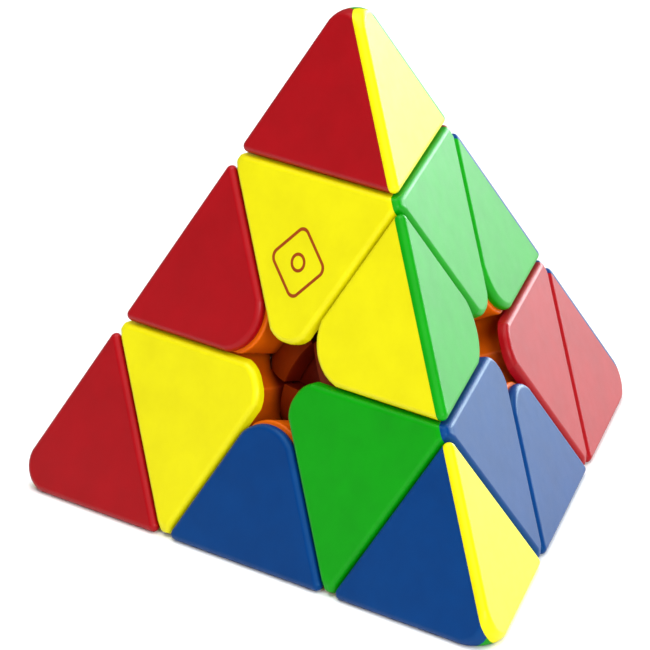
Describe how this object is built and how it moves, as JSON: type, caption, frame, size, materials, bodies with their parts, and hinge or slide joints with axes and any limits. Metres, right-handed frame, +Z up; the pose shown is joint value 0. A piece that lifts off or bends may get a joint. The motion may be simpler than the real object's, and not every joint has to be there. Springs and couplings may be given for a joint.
{
  "type": "pyramid twisty puzzle",
  "caption": "Tetrahedral twisty puzzle with coloured caps on orange bodies; its tips and top layer turn about a hidden ball core.",
  "frame": {"origin": "middle of the ball core, where the four turning axes meet", "axes": "+Z up the top corner's turning axis; -Y from that axis towards the front corner; the base face is parallel to XY, below the origin"},
  "size_m": [0.098, 0.0859, 0.0805],
  "materials": {
    "red_plastic": "satin moulded",
    "yellow_plastic": "satin moulded",
    "green_plastic": "satin moulded",
    "blue_plastic": "satin moulded",
    "orange_plastic": "satin moulded",
    "steel": "zinc plated",
    "spring_steel": "drawn wire"
  },
  "bodies": {
    "core": {"core_ball": "orange_plastic", "screw_top": "steel", "spring_top": "spring_steel", "screw_left": "steel", "spring_left": "spring_steel", "screw_front": "steel", "spring_front": "spring_steel", "screw_right": "steel", "spring_right": "spring_steel", "axial_left_body": "orange_plastic", "axial_left_cap_west": "yellow_plastic", "axial_left_cap_north": "red_plastic", "axial_left_cap_base": "blue_plastic", "axial_front_body": "orange_plastic", "axial_front_cap_west": "green_plastic", "axial_front_cap_east": "blue_plastic", "axial_front_cap_base": "yellow_plastic", "axial_right_body": "orange_plastic", "axial_right_cap_east": "red_plastic", "axial_right_cap_base": "green_plastic", "axial_right_cap_north": "blue_plastic", "edge_left_front_body": "orange_plastic", "edge_left_front_cap_west": "blue_plastic", "edge_left_front_cap_base": "red_plastic", "edge_front_right_body": "orange_plastic", "edge_front_right_cap_east": "blue_plastic", "edge_front_right_cap_base": "yellow_plastic", "edge_left_right_body": "orange_plastic", "edge_left_right_cap_north": "yellow_plastic", "edge_left_right_cap_base": "red_plastic"},
    "top_layer": {"axial_top_body": "orange_plastic", "axial_top_cap_west": "yellow_plastic", "axial_top_cap_east": "green_plastic", "axial_top_cap_north": "red_plastic", "edge_top_left_body": "orange_plastic", "edge_top_left_cap_west": "red_plastic", "edge_top_left_cap_north": "green_plastic", "edge_top_front_body": "orange_plastic", "edge_top_front_cap_west": "yellow_plastic", "edge_top_front_cap_east": "green_plastic", "edge_top_right_body": "orange_plastic", "edge_top_right_cap_east": "green_plastic", "edge_top_right_cap_north": "blue_plastic"},
    "tip_top": {"tip_top_body": "orange_plastic", "tip_top_cap_west": "red_plastic", "tip_top_cap_east": "yellow_plastic", "tip_top_cap_north": "green_plastic"},
    "tip_left": {"tip_left_body": "orange_plastic", "tip_left_cap_west": "red_plastic", "tip_left_cap_north": "blue_plastic", "tip_left_cap_base": "yellow_plastic"},
    "tip_front": {"tip_front_body": "orange_plastic", "tip_front_cap_west": "blue_plastic", "tip_front_cap_east": "yellow_plastic", "tip_front_cap_base": "green_plastic"},
    "tip_right": {"tip_right_body": "orange_plastic", "tip_right_cap_east": "red_plastic", "tip_right_cap_base": "green_plastic", "tip_right_cap_north": "blue_plastic"}
  },
  "joints": [
    {"name": "top_layer_turn", "type": "hinge", "parent": "core", "child": "top_layer", "pos_m": [0, 0, 0], "axis": [0, 0, 1], "continuous": true},
    {"name": "tip_top_turn", "type": "hinge", "parent": "top_layer", "child": "tip_top", "pos_m": [0, 0, 0], "axis": [0, 0, 1], "continuous": true},
    {"name": "tip_left_turn", "type": "hinge", "parent": "core", "child": "tip_left", "pos_m": [0, 0, 0], "axis": [-0.8165, 0.4714, -0.3333], "continuous": true},
    {"name": "tip_front_turn", "type": "hinge", "parent": "core", "child": "tip_front", "pos_m": [0, 0, 0], "axis": [0, -0.9428, -0.3333], "continuous": true},
    {"name": "tip_right_turn", "type": "hinge", "parent": "core", "child": "tip_right", "pos_m": [0, 0, 0], "axis": [0.8165, 0.4714, -0.3333], "continuous": true}
  ]
}
